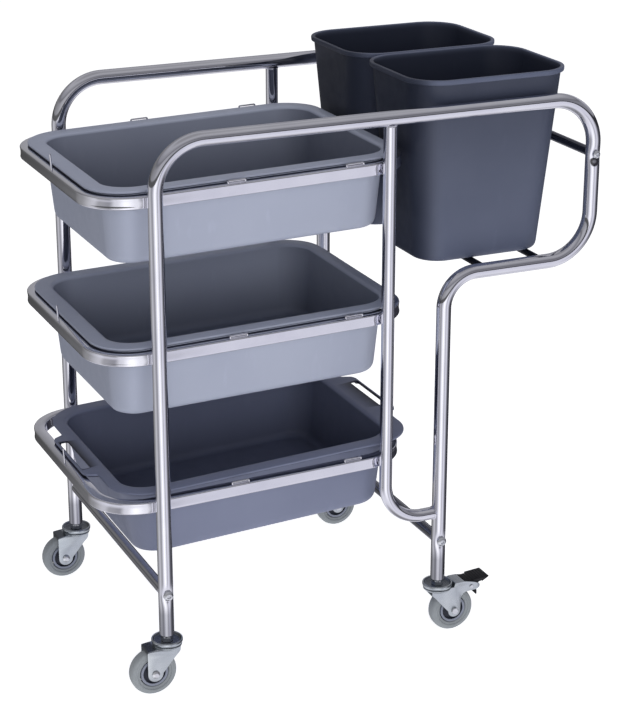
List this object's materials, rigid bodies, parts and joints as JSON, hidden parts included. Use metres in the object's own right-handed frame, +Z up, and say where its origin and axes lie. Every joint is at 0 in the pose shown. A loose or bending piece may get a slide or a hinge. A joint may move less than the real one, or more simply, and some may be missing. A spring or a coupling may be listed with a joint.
{
  "type": "food service trolley",
  "caption": "Bussing trolley with a bent chrome tube frame, three stacked lift-out tubs on ring rails, a pair of lift-out bins at one end and swivel casters.",
  "frame": {"origin": "on the floor, at the middle of the bounding box", "axes": "+X from the tub end towards the bin end, +Y from the near side frame to the far one, +Z up"},
  "size_m": [0.8951, 0.538, 0.99],
  "materials": {
    "chrome_tube": "polished chrome plated steel tube",
    "zinc_caster": "bright zinc plated pressed steel",
    "zinc_fastener": "bright zinc plated bolts and pins",
    "dark_steel_bar": "dark coated steel bar",
    "grey_tub_plastic": "fine satin moulded polypropylene",
    "slate_tub_plastic": "fine satin moulded polypropylene",
    "slate_bin_plastic": "fine satin moulded polypropylene",
    "grey_rubber": "non-marking grey rubber tread",
    "grey_hub_plastic": "moulded wheel centre",
    "black_plastic": "black moulded brake lever"
  },
  "bodies": {
    "frame": {"side_frame_near": "chrome_tube", "post_near": "chrome_tube", "side_frame_far": "chrome_tube", "post_far": "chrome_tube", "cross_tube_lower_left": "chrome_tube", "bolt_lower_left_near": "zinc_fastener", "bolt_lower_left_far": "zinc_fastener", "cross_tube_lower_right": "chrome_tube", "bolt_lower_right_near": "zinc_fastener", "bolt_lower_right_far": "zinc_fastener", "cross_tube_upper": "chrome_tube", "bolt_upper_near": "zinc_fastener", "bolt_upper_far": "zinc_fastener", "bin_bar_left": "dark_steel_bar", "bin_bar_right": "dark_steel_bar", "tub_rail_bottom": "chrome_tube", "tub_rail_middle": "chrome_tube", "tub_rail_top": "chrome_tube", "stem_left_near": "zinc_caster", "swivel_race_left_near": "zinc_caster", "stem_left_far": "zinc_caster", "swivel_race_left_far": "zinc_caster", "stem_right_near": "zinc_caster", "swivel_race_right_near": "zinc_caster", "stem_right_far": "zinc_caster", "swivel_race_right_far": "zinc_caster"},
    "tub_bottom": {"tub_bottom": "slate_tub_plastic"},
    "tub_middle": {"tub_middle": "grey_tub_plastic"},
    "tub_top": {"tub_top": "grey_tub_plastic"},
    "bin_near": {"bin_near": "slate_bin_plastic"},
    "bin_far": {"bin_far": "slate_bin_plastic"},
    "swivel_left_near": {"fork_left_near": "zinc_caster", "axle_left_near": "zinc_fastener"},
    "wheel_left_near": {"hub_left_near": "grey_hub_plastic", "tyre_left_near": "grey_rubber"},
    "swivel_left_far": {"fork_left_far": "zinc_caster", "axle_left_far": "zinc_fastener"},
    "wheel_left_far": {"hub_left_far": "grey_hub_plastic", "tyre_left_far": "grey_rubber"},
    "swivel_right_near": {"fork_right_near": "zinc_caster", "axle_right_near": "zinc_fastener", "brake_pin_right_near": "zinc_fastener"},
    "wheel_right_near": {"hub_right_near": "grey_hub_plastic", "tyre_right_near": "grey_rubber"},
    "brake_right_near": {"brake_pedal_right_near": "black_plastic"},
    "swivel_right_far": {"fork_right_far": "zinc_caster", "axle_right_far": "zinc_fastener", "brake_pin_right_far": "zinc_fastener"},
    "wheel_right_far": {"hub_right_far": "grey_hub_plastic", "tyre_right_far": "grey_rubber"},
    "brake_right_far": {"brake_pedal_right_far": "black_plastic"}
  },
  "joints": [
    {"name": "caster_swivel_left_near", "type": "hinge", "parent": "frame", "child": "swivel_left_near", "pos_m": [-0.351, -0.2425, 0.087], "axis": [0, 0, 1], "continuous": true},
    {"name": "wheel_spin_left_near", "type": "hinge", "parent": "swivel_left_near", "child": "wheel_left_near", "pos_m": [-0.378, -0.2425, 0.04], "axis": [0, 1, 0], "continuous": true},
    {"name": "caster_swivel_left_far", "type": "hinge", "parent": "frame", "child": "swivel_left_far", "pos_m": [-0.351, 0.2425, 0.087], "axis": [0, 0, 1], "continuous": true},
    {"name": "wheel_spin_left_far", "type": "hinge", "parent": "swivel_left_far", "child": "wheel_left_far", "pos_m": [-0.378, 0.2425, 0.04], "axis": [0, 1, 0], "continuous": true},
    {"name": "caster_swivel_right_near", "type": "hinge", "parent": "frame", "child": "swivel_right_near", "pos_m": [0.157, -0.2425, 0.087], "axis": [0, 0, 1], "continuous": true},
    {"name": "wheel_spin_right_near", "type": "hinge", "parent": "swivel_right_near", "child": "wheel_right_near", "pos_m": [0.184, -0.2425, 0.04], "axis": [0, 1, 0], "continuous": true},
    {"name": "brake_pedal_right_near", "type": "hinge", "parent": "swivel_right_near", "child": "brake_right_near", "pos_m": [0.217, -0.2425, 0.081], "axis": [0, 1, 0], "range_deg": [0, 20]},
    {"name": "caster_swivel_right_far", "type": "hinge", "parent": "frame", "child": "swivel_right_far", "pos_m": [0.157, 0.2425, 0.087], "axis": [0, 0, 1], "continuous": true},
    {"name": "wheel_spin_right_far", "type": "hinge", "parent": "swivel_right_far", "child": "wheel_right_far", "pos_m": [0.184, 0.2425, 0.04], "axis": [0, 1, 0], "continuous": true},
    {"name": "brake_pedal_right_far", "type": "hinge", "parent": "swivel_right_far", "child": "brake_right_far", "pos_m": [0.217, 0.2425, 0.081], "axis": [0, 1, 0], "range_deg": [0, 20]},
    {"name": "tub_lift_bottom", "type": "slide", "parent": "frame", "child": "tub_bottom", "axis": [0, 0, 1], "range_m": [0, 0.1]},
    {"name": "tub_lift_middle", "type": "slide", "parent": "frame", "child": "tub_middle", "axis": [0, 0, 1], "range_m": [0, 0.1]},
    {"name": "tub_lift_top", "type": "slide", "parent": "frame", "child": "tub_top", "axis": [0, 0, 1], "range_m": [0, 0.25]},
    {"name": "bin_lift_near", "type": "slide", "parent": "frame", "child": "bin_near", "axis": [0, 0, 1], "range_m": [0, 0.3]},
    {"name": "bin_lift_far", "type": "slide", "parent": "frame", "child": "bin_far", "axis": [0, 0, 1], "range_m": [0, 0.3]}
  ]
}
